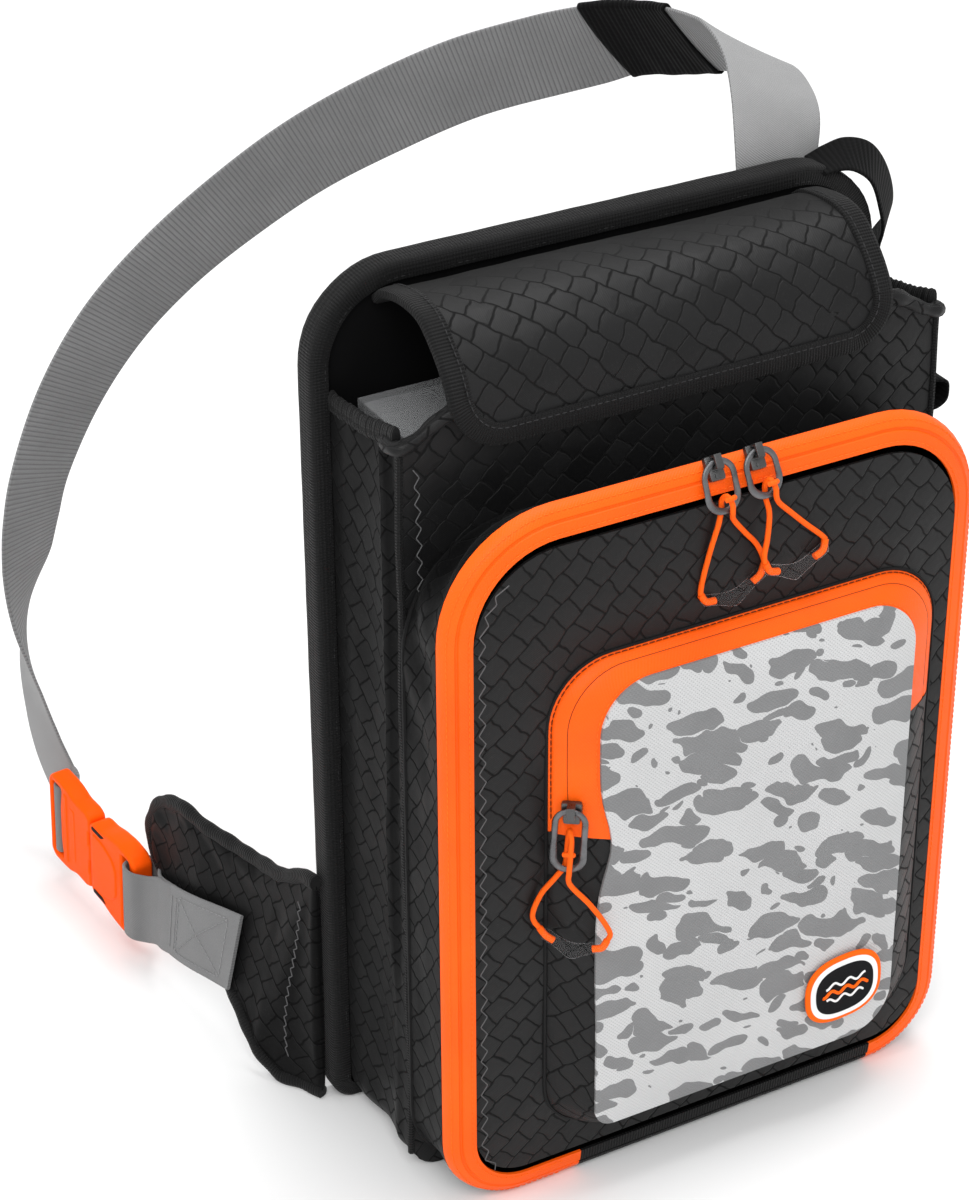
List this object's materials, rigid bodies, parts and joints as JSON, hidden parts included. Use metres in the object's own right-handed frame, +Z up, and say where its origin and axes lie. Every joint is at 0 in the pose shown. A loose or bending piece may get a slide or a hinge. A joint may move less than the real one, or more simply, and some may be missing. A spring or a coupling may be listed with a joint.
{
  "type": "sling bag",
  "caption": "Black one-shoulder fishing tackle sling bag with orange zips, printed front pocket, grey strap and side-release buckle.",
  "frame": {"origin": "centre of the flat base on the floor, midway across the bag and just in front of its back panel", "axes": "+X to the right seen from the front pocket, +Y to the back where the strap loop stands, +Z up"},
  "size_m": [0.3186, 0.3764, 0.4169],
  "materials": {
    "black_cloth": "ripstop weave, padded",
    "black_binding": "ribbed binding and elastic",
    "printed_cloth": "grey camouflage print",
    "grey_webbing": "flat woven webbing",
    "orange_zip": "coated water-resistant zip",
    "orange_cord": "fine braided cord",
    "orange_plastic": "satin moulded",
    "gunmetal": "dark plated",
    "clear_grip": "clear moulded",
    "clear_plastic": "clear moulded case",
    "badge_rubber": "moulded patch"
  },
  "bodies": {
    "root": {"back_panel": "black_cloth", "back_binding": "black_binding", "sleeve_gusset": "black_cloth", "sleeve_front_wall": "black_cloth", "sleeve_rim_left": "black_binding", "sleeve_rim_right": "black_binding", "flap": "black_cloth", "flap_binding": "black_binding", "main_gusset": "black_cloth", "main_zip_tape": "orange_zip", "bottom_band": "black_binding", "front_panel": "black_cloth", "pocket_zip_tape": "orange_zip", "pocket_gusset": "black_cloth", "pocket_face": "printed_cloth", "badge": "badge_rubber", "strap": "grey_webbing", "strap_keeper": "black_binding", "wing": "black_cloth", "buckle_male": "orange_plastic", "buckle_female": "orange_plastic", "buckle_tab": "grey_webbing", "grab_loop": "black_binding", "side_tab": "black_binding", "tackle_tray": "clear_plastic", "tackle_lid": "clear_plastic", "main_left_slider": "gunmetal", "main_left_ring": "gunmetal", "main_left_cord": "orange_cord", "main_left_grip": "clear_grip", "main_right_slider": "gunmetal", "main_right_ring": "gunmetal", "main_right_cord": "orange_cord", "main_right_grip": "clear_grip", "pocket_slider": "gunmetal", "pocket_ring": "gunmetal", "pocket_cord": "orange_cord", "pocket_grip": "clear_grip"}
  },
  "joints": []
}
